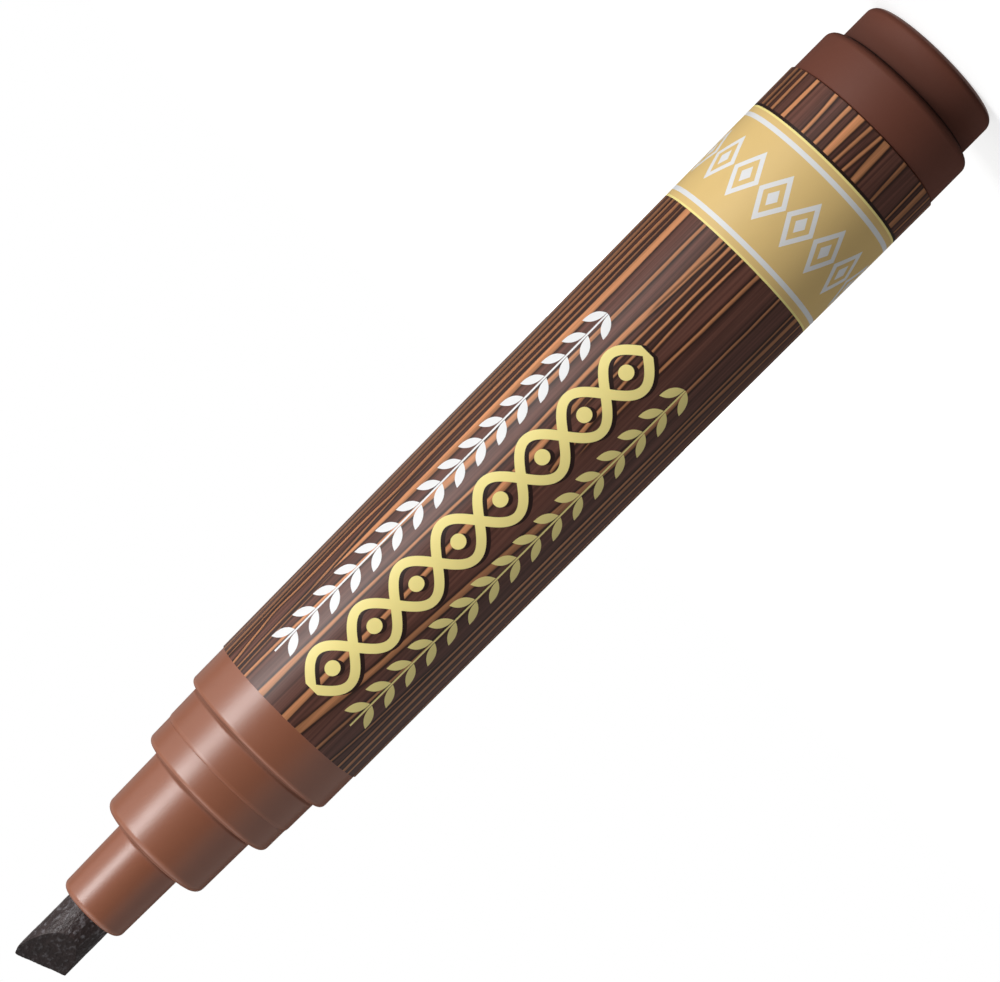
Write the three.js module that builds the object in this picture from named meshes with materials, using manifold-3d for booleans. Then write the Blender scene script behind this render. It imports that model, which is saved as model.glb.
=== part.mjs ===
// Furniture touch-up marker with its cap off: a drafted barrel in a wood-grain film, a stepped nose that
// holds a chisel-cut felt nib, an ink reservoir inside and a plug in the tail.
// Millimetres. It stands on its tail with the nib up +Z, and the origin is the centre of the flat tail end.

import * as THREE from 'three';
import { mergeVertices } from 'three/addons/utils/BufferGeometryUtils.js';
import Module from 'manifold-3d';

const { degToRad } = THREE.MathUtils;

// Barrel: a tube that widens to the rear, with six ribs inside and a neck ring in front of the cap shoulder
const BARREL_LENGTH = 80.0;
const BARREL_FRONT_DIAMETER = 17.04;
const BARREL_DRAFT_DEG = 0.37;
const BARREL_WALL = 1.05;
const BARREL_EDGE_ROUNDING = 0.55;
const CAP_SHOULDER_WIDTH = 0.815;
const NECK_RING_LENGTH = 3.8;
const NECK_RING_WALL = 1.0;
const NECK_RING_ROUNDING = 0.25;
const RIB_COUNT = 6;
const RIB_HEIGHT = 0.65;
const RIB_WIDTH = 0.9;

// Printed film round the barrel, which leaves a plain band at the front
const FILM_THICKNESS = 0.08;
const FILM_REAR_MARGIN = 0.03;
const PLAIN_BAND_LENGTH = 4.4;

// Nose: a spigot in the neck ring, then collar, neck and nib tube, each one step smaller
const COLLAR_LENGTH = 2.85;
const COLLAR_SETBACK = 0.09;
const COLLAR_ROUNDING = 0.65;
const NOSE_NECK_LENGTH = 7.15;
const NOSE_NECK_ROUNDING = 0.9;
const NOSE_SHOULDER_WIDTH = 2.2;
const NIB_TUBE_LENGTH = 8.1;
const NIB_TUBE_WALL = 0.985;
const NIB_TUBE_ROUNDING = 0.75;
const NIB_TUBE_ROOT_ROUNDING = 0.25;
const NOSE_WALL = 1.2;
const NOSE_DRAFT_DEG = 1.0;
const NOSE_SPIGOT_REACH = 3.35;
const SNAP_BEAD_WIDTH = 1.0;
const SNAP_BEAD_HEIGHT = 0.25;
const NIB_GUIDE_LENGTH = 6.0;
const NIB_GUIDE_WALL = 0.9;
const AIR_GROOVE_COUNT = 4;
const AIR_GROOVE_WIDTH = 0.7;
const AIR_GROOVE_DEPTH = 0.3;

// Nib: one felt rod with a wedge cut on both sides, a slanted writing edge and a small flat at its point
const NIB_DIAMETER = 5.15;
const NIB_EXPOSED_LENGTH = 7.7;
const NIB_INSERTION = 10.0;
const NIB_SLANT_DEG = 21.0;
const NIB_WEDGE_DEG = 62.0;
const NIB_EDGE_WIDTH = 0.35;
const NIB_POINT_FLAT = 0.65;
const NIB_REAR_ROUNDING = 0.6;

// Reservoir: fibre core in a film tube
const WRAP_THICKNESS = 0.15;

// Tail plug: post and flange outside, a beaded spigot in the barrel, hollow with fins inside
const POST_LENGTH = 4.45;
const POST_RIM_ROUNDING = 1.0;
const POST_STEP = 1.165;
const FLANGE_LENGTH = 5.1;
const FLANGE_SETBACK = 0.06;
const FLANGE_RIM_ROUNDING = 0.9;
const PLUG_SPIGOT_LENGTH = 7.0;
const PLUG_WALL = 1.4;
const PLUG_CAVITY_ROUNDING = 0.8;
const SEAL_BEAD_COUNT = 2;
const SEAL_BEAD_PITCH = 2.2;
const SEAL_BEAD_WIDTH = 0.9;
const SEAL_BEAD_HEIGHT = 0.07;
const FIN_COUNT = 4;
const FIN_REACH = 3.5;
const FIN_WIDTH = 1.0;

// Clearances between pieces
const SEAT_GAP = 0.05;
const FILM_BOND = 0.03;
const SPIGOT_CLEARANCE = 0.05;
const NIB_CLEARANCE = 0.05;
const NIB_END_GAP = 0.3;
const RESERVOIR_CLEARANCE = 0.05;
const RESERVOIR_SEAT_GAP = 0.1;
const RIB_END_GAP = 0.3;
const LEAD_IN = 0.4;

// Fineness of the round surfaces
const SEGMENTS = 48;
const ARC_STEPS = 3;
const MERGE_DISTANCE = 1e-4;

// Radii of the barrel, at a height above its rear end
const barrelTaper = Math.tan(degToRad(BARREL_DRAFT_DEG));
const barrelRadius = (height) => BARREL_FRONT_DIAMETER / 2 + (BARREL_LENGTH - height) * barrelTaper;
const boreRadius = (height) => barrelRadius(height) - BARREL_WALL;

// Radii of the neck ring and of the nose, which all shrink forward with the mould's draft
const noseTaper = Math.tan(degToRad(NOSE_DRAFT_DEG));
const ringRearRadius = BARREL_FRONT_DIAMETER / 2 - CAP_SHOULDER_WIDTH;
const ringFrontRadius = ringRearRadius - NECK_RING_LENGTH * noseTaper;
const ringBoreRadius = ringFrontRadius - NECK_RING_WALL;
const noseSpigotRadius = ringBoreRadius - SPIGOT_CLEARANCE;
const collarRearRadius = ringFrontRadius - COLLAR_SETBACK;
const collarFrontRadius = collarRearRadius - COLLAR_LENGTH * noseTaper;
const nibRadius = NIB_DIAMETER / 2;
const nibBoreRadius = nibRadius + NIB_CLEARANCE;
const tubeFrontRadius = nibBoreRadius + NIB_TUBE_WALL;
const tubeRearRadius = tubeFrontRadius + NIB_TUBE_LENGTH * noseTaper;
const noseNeckFrontRadius = tubeRearRadius + NOSE_SHOULDER_WIDTH;
const noseNeckRearRadius = noseNeckFrontRadius + NOSE_NECK_LENGTH * noseTaper;

// Heights above the tail end, from piece to piece
const flangeFront = POST_LENGTH + FLANGE_LENGTH;
const plugRim = flangeFront + PLUG_SPIGOT_LENGTH;
const barrelRear = flangeFront + SEAT_GAP;
const capShoulder = barrelRear + BARREL_LENGTH;
const noseSeat = capShoulder + NECK_RING_LENGTH + SEAT_GAP;
const innerShoulder = capShoulder - BARREL_WALL;
const noseRear = innerShoulder - NOSE_SPIGOT_REACH;
const nibMouth = noseSeat + COLLAR_LENGTH + NOSE_NECK_LENGTH + NIB_TUBE_LENGTH;
const nibTip = nibMouth + NIB_EXPOSED_LENGTH;
const reservoirRear = plugRim + RESERVOIR_SEAT_GAP;
const reservoirFront = noseRear - RESERVOIR_SEAT_GAP;
const nibRear = reservoirFront - NIB_INSERTION;

// The ribs stand in from the narrowest bore and hold the reservoir
const ribInnerRadius = boreRadius(BARREL_LENGTH) - RIB_HEIGHT;
const wrapRadius = ribInnerRadius - RESERVOIR_CLEARANCE;
const wrapBoreRadius = wrapRadius - WRAP_THICKNESS;
const coreRadius = wrapBoreRadius - FILM_BOND;
const reservoirLength = reservoirFront - reservoirRear;

const wasm = await Module();
wasm.setup();

// The arc that rounds one corner of an outline, no longer than the shorter of the two sides allows
function cornerArc(before, corner, after, rounding) {
  const back = before.clone().sub(corner);
  const ahead = after.clone().sub(corner);
  const sideShare = 0.8;
  const longest = sideShare * Math.min(back.length(), ahead.length());
  const halfAngle = back.angleTo(ahead) / 2;
  const reach = Math.min(rounding / Math.tan(halfAngle), longest);
  const bisector = back.normalize().clone().add(ahead.normalize()).normalize();
  const centre = corner.clone().addScaledVector(bisector, reach / Math.cos(halfAngle));
  const start = corner.clone().addScaledVector(back, reach);
  const sweep = -Math.sign(back.cross(ahead)) * (Math.PI - 2 * halfAngle);
  const turns = Array.from({ length: ARC_STEPS + 1 }, (_, step) => (sweep * step) / ARC_STEPS);
  return turns.map((turn) => start.clone().rotateAround(centre, turn));
}

// An outline from corners of [radius, height] or [radius, height, rounding]
function outlineOf(corners) {
  const points = corners.map(([radius, height]) => new THREE.Vector2(radius, height));
  return corners.flatMap(([, , rounding], i) => {
    if (!rounding) return [points[i]];
    return cornerArc(points[i - 1], points[i], points[(i + 1) % points.length], rounding);
  });
}

// A body turned about Z. The corners run up the outside; a ring's outline closes on itself.
function turned(corners) {
  const outline = outlineOf(corners);
  const isRing = corners[0][0] > 0;
  if (isRing) outline.push(outline[0].clone());
  return new THREE.LatheGeometry(outline, SEGMENTS).rotateX(Math.PI / 2);
}

// A flat plate of [radius, height] corners, standing on the axis and turned to the given angle
function radialPlate(corners, width, angle) {
  const shape = new THREE.Shape(corners.map(([radius, height]) => new THREE.Vector2(radius, height)));
  const plate = new THREE.ExtrudeGeometry(shape, { depth: width, bevelEnabled: false });
  return plate.rotateX(Math.PI / 2).translate(0, width / 2, 0).rotateZ(angle);
}

// Copies of a radial plate at equal angles
function plateRing(corners, width, count) {
  return Array.from({ length: count }, (_, i) => radialPlate(corners, width, (i / count) * 2 * Math.PI));
}

// The three corners of a bead that stands out from a wall
function bead(wallRadius, middle, width, height) {
  return [
    [wallRadius, middle - width / 2],
    [wallRadius + height, middle],
    [wallRadius, middle + width / 2],
  ];
}

// A closed geometry as a solid that can be joined and cut
function solidOf(geometry) {
  const bare = geometry.clone();
  bare.deleteAttribute('normal');
  bare.deleteAttribute('uv');
  const merged = mergeVertices(bare, MERGE_DISTANCE);
  const triangles = [];
  for (let i = 0; i < merged.index.count; i += 3) {
    const triangle = [0, 1, 2].map((corner) => merged.index.getX(i + corner));
    if (new Set(triangle).size === 3) triangles.push(...triangle);
  }
  const vertProperties = merged.getAttribute('position').array;
  const triVerts = new Uint32Array(triangles);
  return new wasm.Manifold(new wasm.Mesh({ numProp: 3, vertProperties, triVerts }));
}

function geometryOf(solid) {
  const { vertProperties, triVerts } = solid.getMesh();
  const geometry = new THREE.BufferGeometry();
  geometry.setAttribute('position', new THREE.BufferAttribute(vertProperties, 3));
  geometry.setIndex(new THREE.BufferAttribute(triVerts, 1));
  geometry.computeVertexNormals();
  return geometry;
}

function joined(body, additions) {
  return geometryOf(additions.reduce((solid, addition) => solid.add(solidOf(addition)), solidOf(body)));
}

function cut(body, tools) {
  return geometryOf(tools.reduce((solid, tool) => solid.subtract(solidOf(tool)), solidOf(body)));
}

// Barrel, from its rear end
function barrelGeometry() {
  const ringFront = BARREL_LENGTH + NECK_RING_LENGTH;
  const boreFront = BARREL_LENGTH - BARREL_WALL;
  const tube = turned([
    [boreRadius(0), 0],
    [barrelRadius(0), 0],
    [barrelRadius(BARREL_LENGTH), BARREL_LENGTH, BARREL_EDGE_ROUNDING],
    [ringRearRadius, BARREL_LENGTH],
    [ringFrontRadius, ringFront, NECK_RING_ROUNDING],
    [ringBoreRadius, ringFront],
    [ringBoreRadius, boreFront],
    [boreRadius(boreFront), boreFront],
  ]);
  const ribRear = plugRim + RIB_END_GAP - barrelRear;
  const ribFront = noseRear - RIB_END_GAP - barrelRear;
  const ribRoot = BARREL_WALL / 2;
  const rib = [
    [ribInnerRadius, ribRear],
    [boreRadius(ribRear) + ribRoot, ribRear],
    [boreRadius(ribFront) + ribRoot, ribFront],
    [ribInnerRadius, ribFront],
  ];
  return joined(tube, plateRing(rib, RIB_WIDTH, RIB_COUNT));
}

// Film sleeve, from the barrel's rear end
function sleeveGeometry() {
  const rear = FILM_REAR_MARGIN;
  const front = BARREL_LENGTH - PLAIN_BAND_LENGTH;
  const inside = (height) => barrelRadius(height) + FILM_BOND;
  return turned([
    [inside(rear), rear],
    [inside(rear) + FILM_THICKNESS, rear],
    [inside(front) + FILM_THICKNESS, front],
    [inside(front), front],
  ]);
}

// Nose, from the face that seats on the neck ring
function noseGeometry() {
  const rear = noseRear - noseSeat;
  const snapFront = innerShoulder - SEAT_GAP - noseSeat;
  const collarFront = COLLAR_LENGTH;
  const neckFront = collarFront + NOSE_NECK_LENGTH;
  const mouth = neckFront + NIB_TUBE_LENGTH;
  const cavityFront = neckFront - NOSE_WALL;
  const cavityStep = collarFront - NOSE_WALL;
  const guideRear = cavityFront - NIB_GUIDE_LENGTH;
  const guideRadius = nibBoreRadius + NIB_GUIDE_WALL;
  const neckCavityRadius = noseNeckFrontRadius - NOSE_WALL;
  const spigotCavityRadius = noseSpigotRadius - NOSE_WALL;
  const body = turned([
    [spigotCavityRadius, rear],
    [noseSpigotRadius - LEAD_IN, rear],
    [noseSpigotRadius, rear + LEAD_IN],
    ...bead(noseSpigotRadius, snapFront - SNAP_BEAD_WIDTH / 2, SNAP_BEAD_WIDTH, SNAP_BEAD_HEIGHT),
    [noseSpigotRadius, 0],
    [collarRearRadius, 0],
    [collarFrontRadius, collarFront, COLLAR_ROUNDING],
    [noseNeckRearRadius, collarFront],
    [noseNeckFrontRadius, neckFront, NOSE_NECK_ROUNDING],
    [tubeRearRadius, neckFront, NIB_TUBE_ROOT_ROUNDING],
    [tubeFrontRadius, mouth, NIB_TUBE_ROUNDING],
    [nibBoreRadius, mouth],
    [nibBoreRadius, guideRear],
    [guideRadius, guideRear],
    [guideRadius, cavityFront],
    [neckCavityRadius, cavityFront],
    [neckCavityRadius, cavityStep],
    [spigotCavityRadius, cavityStep],
  ]);
  const groove = [
    [nibRadius, guideRear - LEAD_IN],
    [nibBoreRadius + AIR_GROOVE_DEPTH, guideRear - LEAD_IN],
    [nibBoreRadius + AIR_GROOVE_DEPTH, mouth + LEAD_IN],
    [nibRadius, mouth + LEAD_IN],
  ];
  return cut(body, plateRing(groove, AIR_GROOVE_WIDTH, AIR_GROOVE_COUNT));
}

// Nib, from its rear end. The waste that is cut away leaves a wedge, whose ridge climbs to the point at +X.
function nibGeometry() {
  const tip = nibTip - nibRear;
  const blank = turned([
    [0, 0],
    [nibRadius, 0, NIB_REAR_ROUNDING],
    [nibRadius, tip],
    [0, tip],
  ]);
  const wasteWidth = NIB_DIAMETER;
  const wasteLength = 4 * NIB_DIAMETER;
  const wasteDrop = (wasteWidth - NIB_EDGE_WIDTH / 2) / Math.tan(degToRad(NIB_WEDGE_DEG / 2));
  const waste = new THREE.Shape([
    new THREE.Vector2(-wasteWidth, -wasteDrop),
    new THREE.Vector2(-NIB_EDGE_WIDTH / 2, 0),
    new THREE.Vector2(NIB_EDGE_WIDTH / 2, 0),
    new THREE.Vector2(wasteWidth, -wasteDrop),
    new THREE.Vector2(wasteWidth, wasteWidth),
    new THREE.Vector2(-wasteWidth, wasteWidth),
  ]);
  const wasteBlock = new THREE.ExtrudeGeometry(waste, { depth: wasteLength, bevelEnabled: false })
    .translate(0, 0, -wasteLength / 2)
    .rotateX(Math.PI / 2)
    .rotateZ(Math.PI / 2)
    .rotateY(-degToRad(NIB_SLANT_DEG))
    .translate(nibRadius - NIB_POINT_FLAT, 0, tip);
  return cut(blank, [wasteBlock]);
}

// Fibre core and its film, from their rear end
function reservoirCoreGeometry() {
  const socketFloor = reservoirLength - NIB_INSERTION - NIB_END_GAP;
  return turned([
    [0, 0],
    [coreRadius, 0],
    [coreRadius, reservoirLength],
    [nibBoreRadius, reservoirLength],
    [nibBoreRadius, socketFloor],
    [0, socketFloor],
  ]);
}

function reservoirWrapGeometry() {
  return turned([
    [wrapBoreRadius, 0],
    [wrapRadius, 0],
    [wrapRadius, reservoirLength],
    [wrapBoreRadius, reservoirLength],
  ]);
}

// Tail plug, from its flat end. The spigot follows the bore's taper and its beads seal against it.
function tailPlugGeometry() {
  const flangeRadius = barrelRadius(0) - FLANGE_SETBACK;
  const postRadius = flangeRadius - POST_STEP;
  const spigotRadius = (height) => boreRadius(height - barrelRear) - SPIGOT_CLEARANCE - SEAL_BEAD_HEIGHT;
  const cavityRadius = Math.min(postRadius, spigotRadius(plugRim)) - PLUG_WALL;
  const beads = Array.from({ length: SEAL_BEAD_COUNT }, (_, i) => {
    const middle = flangeFront + (i + 1) * SEAL_BEAD_PITCH;
    return bead(spigotRadius(middle), middle, SEAL_BEAD_WIDTH, SEAL_BEAD_HEIGHT);
  }).flat();
  const cup = turned([
    [0, 0],
    [postRadius, 0, POST_RIM_ROUNDING],
    [postRadius, POST_LENGTH],
    [flangeRadius, POST_LENGTH, FLANGE_RIM_ROUNDING],
    [flangeRadius, flangeFront],
    [spigotRadius(flangeFront), flangeFront],
    ...beads,
    [spigotRadius(plugRim), plugRim - LEAD_IN],
    [spigotRadius(plugRim) - LEAD_IN, plugRim],
    [cavityRadius, plugRim],
    [cavityRadius, PLUG_WALL, PLUG_CAVITY_ROUNDING],
    [0, PLUG_WALL],
  ]);
  const finRoot = PLUG_WALL / 2;
  const fin = [
    [cavityRadius - FIN_REACH, PLUG_WALL - finRoot],
    [cavityRadius + finRoot, PLUG_WALL - finRoot],
    [cavityRadius + finRoot, plugRim],
    [cavityRadius - FIN_REACH, plugRim],
  ];
  return joined(cup, plateRing(fin, FIN_WIDTH, FIN_COUNT));
}

function piece(name, geometry, finish) {
  const mesh = new THREE.Mesh(geometry, new THREE.MeshStandardMaterial({ metalness: 0, ...finish }));
  mesh.name = name;
  return mesh;
}

// Pieces that share a height above the tail end
function placed(height, ...meshes) {
  const group = new THREE.Group();
  group.position.z = height;
  group.add(...meshes);
  return group;
}

const marker = new THREE.Group();
marker.add(
  piece('tail_plug', tailPlugGeometry(), { color: '#5a3226', roughness: 0.45 }),
  placed(
    barrelRear,
    piece('barrel', barrelGeometry(), { color: '#965f46', roughness: 0.4 }),
    piece('wood_grain_sleeve', sleeveGeometry(), { color: '#462d26', roughness: 0.3 }),
  ),
  placed(noseSeat, piece('nose', noseGeometry(), { color: '#965f46', roughness: 0.38 })),
  placed(nibRear, piece('nib', nibGeometry(), { color: '#2a2524', roughness: 0.85 })),
  placed(
    reservoirRear,
    piece('reservoir_core', reservoirCoreGeometry(), { color: '#4a2c1e', roughness: 0.9 }),
    piece('reservoir_wrap', reservoirWrapGeometry(), { color: '#d9d2c4', roughness: 0.35 }),
  ),
);

export default marker;
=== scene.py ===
import math

import bmesh
import bpy
from mathutils import Matrix, Vector, noise


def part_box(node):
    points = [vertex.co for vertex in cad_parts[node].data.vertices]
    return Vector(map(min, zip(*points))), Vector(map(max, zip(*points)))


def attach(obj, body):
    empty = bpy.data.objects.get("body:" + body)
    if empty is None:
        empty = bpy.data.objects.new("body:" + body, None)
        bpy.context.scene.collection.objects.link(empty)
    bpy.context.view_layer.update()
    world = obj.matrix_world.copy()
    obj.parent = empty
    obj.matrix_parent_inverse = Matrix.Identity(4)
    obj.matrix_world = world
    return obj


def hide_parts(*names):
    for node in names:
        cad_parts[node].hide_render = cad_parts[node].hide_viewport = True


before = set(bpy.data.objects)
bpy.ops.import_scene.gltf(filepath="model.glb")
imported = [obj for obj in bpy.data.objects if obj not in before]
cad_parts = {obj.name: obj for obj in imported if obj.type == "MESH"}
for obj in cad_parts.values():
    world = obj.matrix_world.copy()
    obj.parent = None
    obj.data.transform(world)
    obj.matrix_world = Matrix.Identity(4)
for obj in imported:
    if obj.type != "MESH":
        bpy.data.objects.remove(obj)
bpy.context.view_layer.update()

MM = 0.001

# Camera: level, turned about its own axis so that the nib points to the lower left
CAMERA_DISTANCE = 0.320
CAMERA_ASIDE = 0.00056
CAMERA_LEVEL = 0.05678
CAMERA_ROLL_DEG = 135.17
CAMERA_LENS = 123.49
CAMERA_SENSOR = 36.0
CAMERA_CLIP = 0.01

# Fineness of the meshes
COLUMNS = 192
ARC_STEPS = 8
LONGEST_ARC_SHARE = 0.8
SHARP_ANGLE = math.radians(32)

# Edges and recesses of the mouldings. A standing edge is lightened by wear and a painted edge highlight; a
# shade is an edge value below 0, for a dull place darkened with painted shade.
EDGE_BREAK = 0.06 * MM
ROOT_ROUNDING = 0.25 * MM
ROOT_SHADE = -0.6
ROOT_SHADE_REACH = 0.48 * MM
SHELF_SHADE = -0.35

# Tail plug
POST_LENGTH = 4.45 * MM
POST_STEP = 1.165 * MM
POST_RIM_ROUNDING = 1.0 * MM
# Painted shade on the post, growing darker towards the flange.
POST_SHADE = -0.45
FLANGE_LENGTH = 5.1 * MM
FLANGE_RIM_ROUNDING = 0.9 * MM
FLANGE_FRONT_BEVEL = 0.12 * MM
GATE_MARK_RADIUS = 1.1 * MM
GATE_MARK_DEPTH = 0.09 * MM
PLUG_WALL = 1.4 * MM
PLUG_CAVITY_ROUNDING = 0.8 * MM
SEAL_BEAD_COUNT = 2
SEAL_BEAD_PITCH = 2.2 * MM
SEAL_BEAD_WIDTH = 0.9 * MM
SEAL_BEAD_HEIGHT = 0.07 * MM
FIN_COUNT = 4
FIN_REACH = 3.5 * MM
FIN_WIDTH = 1.0 * MM

# Barrel, its neck ring and its film
BARREL_TAPER = math.tan(math.radians(0.37))
BARREL_WALL = 1.05 * MM
BARREL_EDGE_ROUNDING = 0.55 * MM
CAP_SHOULDER_WIDTH = 0.815 * MM
NECK_RING_LENGTH = 3.8 * MM
NECK_RING_WALL = 1.0 * MM
SEAM_BEVEL = 0.25 * MM
SEAM_BEVEL_ROUNDING = 1.2 * MM
RIB_COUNT = 6
RIB_HEIGHT = 0.65 * MM
RIB_WIDTH = 0.9 * MM
RIB_END_GAP = 0.3 * MM
FILM_THICKNESS = 0.08 * MM
FILM_EDGE_ROUNDING = 0.04 * MM

# Nose
NOSE_TAPER = math.tan(math.radians(1.0))
COLLAR_LENGTH = 2.85 * MM
COLLAR_SETBACK = 0.09 * MM
COLLAR_ROUNDING = 0.65 * MM
NOSE_NECK_LENGTH = 7.15 * MM
NOSE_NECK_ROUNDING = 0.9 * MM
NOSE_SHOULDER_WIDTH = 2.2 * MM
NIB_TUBE_LENGTH = 8.1 * MM
NIB_TUBE_WALL = 0.985 * MM
NIB_TUBE_ROUNDING = 0.75 * MM
NOSE_WALL = 1.2 * MM
SNAP_BEAD_WIDTH = 1.0 * MM
SNAP_BEAD_HEIGHT = 0.25 * MM
NIB_GUIDE_LENGTH = 6.0 * MM
NIB_GUIDE_WALL = 0.9 * MM
AIR_GROOVE_COUNT = 4
AIR_GROOVE_WIDTH = 0.7 * MM
AIR_GROOVE_DEPTH = 0.3 * MM

# Nib
NIB_SLANT = math.radians(21.0)
NIB_HALF_WEDGE = math.radians(31.0)
NIB_POINT_FLAT = 0.65 * MM
NIB_CORNER_WIDTH = 0.3 * MM
NIB_CORNER_DROP = 0.75 * MM
NIB_EDGE_WIDTH = 0.35 * MM
NIB_EDGE_SOFTNESS = 0.12 * MM
NIB_REAR_ROUNDING = 0.6 * MM
NIB_GRID = 96
NIB_ROW_HEIGHT = 0.12 * MM
NIB_FINE_ROWS = 75
NIB_COARSE_ROWS = 14
NIB_SMOOTHINGS = 3
NIB_SMOOTHING_SHARE = 0.5

# The felt's roughness: its depths, its fineness per millimetre, and the share of a depth that it is sunk by
NIB_FUZZ = 0.022 * MM
NIB_FUZZ_ACROSS = 5.5
NIB_FUZZ_ALONG = 1.6
NIB_DENT = 0.03 * MM
NIB_DENT_ACROSS = 1.1
NIB_DENT_ALONG = 0.5
NIB_DENT_START = 7
NIB_SUNK_SHARE = 0.6

# Reservoir
CORE_SOCKET_GAP = 0.3 * MM
WRAP_THICKNESS = 0.15 * MM

# Clearances between the pieces
SEAT_GAP = 0.05 * MM
SEAM_GAP = 0.01 * MM
SPIGOT_CLEARANCE = 0.05 * MM
NIB_CLEARANCE = 0.05 * MM
LEAD_IN = 0.4 * MM

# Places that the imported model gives
plug_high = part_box("tail_plug")[1]
barrel_low, barrel_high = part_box("barrel")
film_low, film_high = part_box("wood_grain_sleeve")
nose_low, nose_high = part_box("nose")
nib_low, nib_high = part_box("nib")
core_low, core_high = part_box("reservoir_core")
wrap_low, wrap_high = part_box("reservoir_wrap")

cap_shoulder = barrel_high.z - NECK_RING_LENGTH
nose_seat = barrel_high.z + SEAT_GAP
nib_bore_radius = nib_high.x + NIB_CLEARANCE


def barrel_radius(height):
    return barrel_high.x - (height - barrel_low.z) * BARREL_TAPER


def bore_radius(height):
    return barrel_radius(height) - BARREL_WALL


ring_rear_radius = barrel_radius(cap_shoulder) - CAP_SHOULDER_WIDTH
ring_front_radius = ring_rear_radius - NECK_RING_LENGTH * NOSE_TAPER
ring_bore_radius = ring_front_radius - NECK_RING_WALL


# Meshes
def corner_arc(before, corner, after, rounding):
    """The points of the arc that rounds one corner of an outline."""
    back = before - corner
    ahead = after - corner
    half_angle = back.angle(ahead) / 2
    longest = LONGEST_ARC_SHARE * min(back.length, ahead.length)
    reach = min(rounding / math.tan(half_angle), longest)
    start = corner + back.normalized() * reach
    bisector = (back.normalized() + ahead.normalized()).normalized()
    centre = corner + bisector * (reach / math.cos(half_angle))
    turn = math.copysign(math.pi - 2 * half_angle, -back.cross(ahead))
    spoke = start - centre
    return [
        centre + Matrix.Rotation(turn * step / ARC_STEPS, 2) @ spoke
        for step in range(ARC_STEPS + 1)
    ]


def outline_of(corners):
    """Points of (radius, height, edge) from corners of (radius, height, rounding, edge).

    The last two are 0 if left out. A rounded corner sets its own edge, 1 where it stands out and -1 where
    it lies in a recess. It starts with the edge of the corner before it, and from half way round it has
    the edge it was given.
    """
    places = [Vector(corner[:2]) for corner in corners]
    points = []
    last_edge = 0.0
    for i, corner in enumerate(corners):
        first_edge = last_edge
        radius, height, rounding, last_edge = (*corner, 0.0, 0.0)[:4]
        if rounding == 0:
            points.append((radius, height, last_edge))
            continue
        before = places[i - 1]
        after = places[(i + 1) % len(places)]
        arc = corner_arc(before, places[i], after, rounding)
        edge = math.copysign(1.0, (places[i] - before).cross(after - places[i]))
        points.append((*arc[0], first_edge))
        half_way = len(arc) // 2
        points += [(*point, edge) for point in arc[1:half_way]]
        points += [(*point, last_edge) for point in arc[half_way:]]
    return points


def ring_of(build, radius, height):
    """A ring of vertices about Z, or one vertex where the radius is 0."""
    count = COLUMNS if radius > 0 else 1
    angles = [2 * math.pi * column / count for column in range(count)]
    return [build.verts.new((radius * math.cos(a), radius * math.sin(a), height)) for a in angles]


def joined_rings(build, lower, upper):
    """Faces between two rings of vertices. A ring of one vertex is a point on the axis."""
    for i in range(COLUMNS):
        ahead = i + 1
        corners = (
            lower[i % len(lower)],
            lower[ahead % len(lower)],
            upper[ahead % len(upper)],
            upper[i % len(upper)],
        )
        build.faces.new(dict.fromkeys(corners))


def shown(name, build):
    """A smooth object from a finished bmesh, with its hard edges marked."""
    mesh = bpy.data.meshes.new(name)
    build.to_mesh(mesh)
    build.free()
    mesh.shade_smooth()
    mesh.set_sharp_from_angle(angle=SHARP_ANGLE)
    piece = bpy.data.objects.new(name, mesh)
    bpy.context.scene.collection.objects.link(piece)
    return piece


def turned(name, corners):
    """A piece turned about Z. The corners run up the outside; an outline off the axis closes as a ring."""
    build = bmesh.new()
    edge = build.verts.layers.float.new("edge")
    rings = []
    for radius, height, on_edge in outline_of(corners):
        ring = ring_of(build, radius, height)
        for vertex in ring:
            vertex[edge] = on_edge
        rings.append(ring)
    pairs = list(zip(rings, rings[1:]))
    if corners[0][0] > 0:
        pairs.append((rings[-1], rings[0]))
    for lower, upper in pairs:
        joined_rings(build, lower, upper)
    return shown(name, build)


def radial_plate(corners, width, angle):
    """A flat plate of (radius, height) corners that stands on the axis at an angle."""
    build = bmesh.new()
    sides = []
    for side in (-width / 2, width / 2):
        sides.append([build.verts.new((radius, side, height)) for radius, height in corners])
    near, far = sides
    build.faces.new(near)
    build.faces.new(far[::-1])
    for i in range(len(corners)):
        build.faces.new((near[i - 1], far[i - 1], far[i], near[i]))
    bmesh.ops.recalc_face_normals(build, faces=build.faces)
    bmesh.ops.transform(build, matrix=Matrix.Rotation(angle, 4, "Z"), verts=build.verts)
    return shown("plate", build)


def with_plates(piece, operation, corners, width, count):
    """A piece with equal radial plates joined to it or cut out of it."""
    plates = [radial_plate(corners, width, 2 * math.pi * i / count) for i in range(count)]
    for plate in plates:
        step = piece.modifiers.new(operation, "BOOLEAN")
        step.operation = operation
        step.solver = "EXACT"
        step.object = plate
    bpy.context.view_layer.update()
    evaluated = piece.evaluated_get(bpy.context.evaluated_depsgraph_get())
    combined = bpy.data.meshes.new_from_object(evaluated)
    piece.modifiers.clear()
    piece.data = combined
    combined.set_sharp_from_angle(angle=SHARP_ANGLE)
    for plate in plates:
        bpy.data.objects.remove(plate)
    return piece


def shaded_root(radius, height):
    """The corners of a recess under a step, where the drafted wall that rises from it starts in shade."""
    end = height + ROOT_SHADE_REACH
    return [
        (radius, height, ROOT_ROUNDING, ROOT_SHADE),
        (radius - ROOT_SHADE_REACH * NOSE_TAPER, end),
    ]


def bead(wall_radius, middle, width, height):
    """The corners of a bead that stands out from a wall."""
    return [
        (wall_radius, middle - width / 2),
        (wall_radius + height, middle, width / 2),
        (wall_radius, middle + width / 2),
    ]


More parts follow.
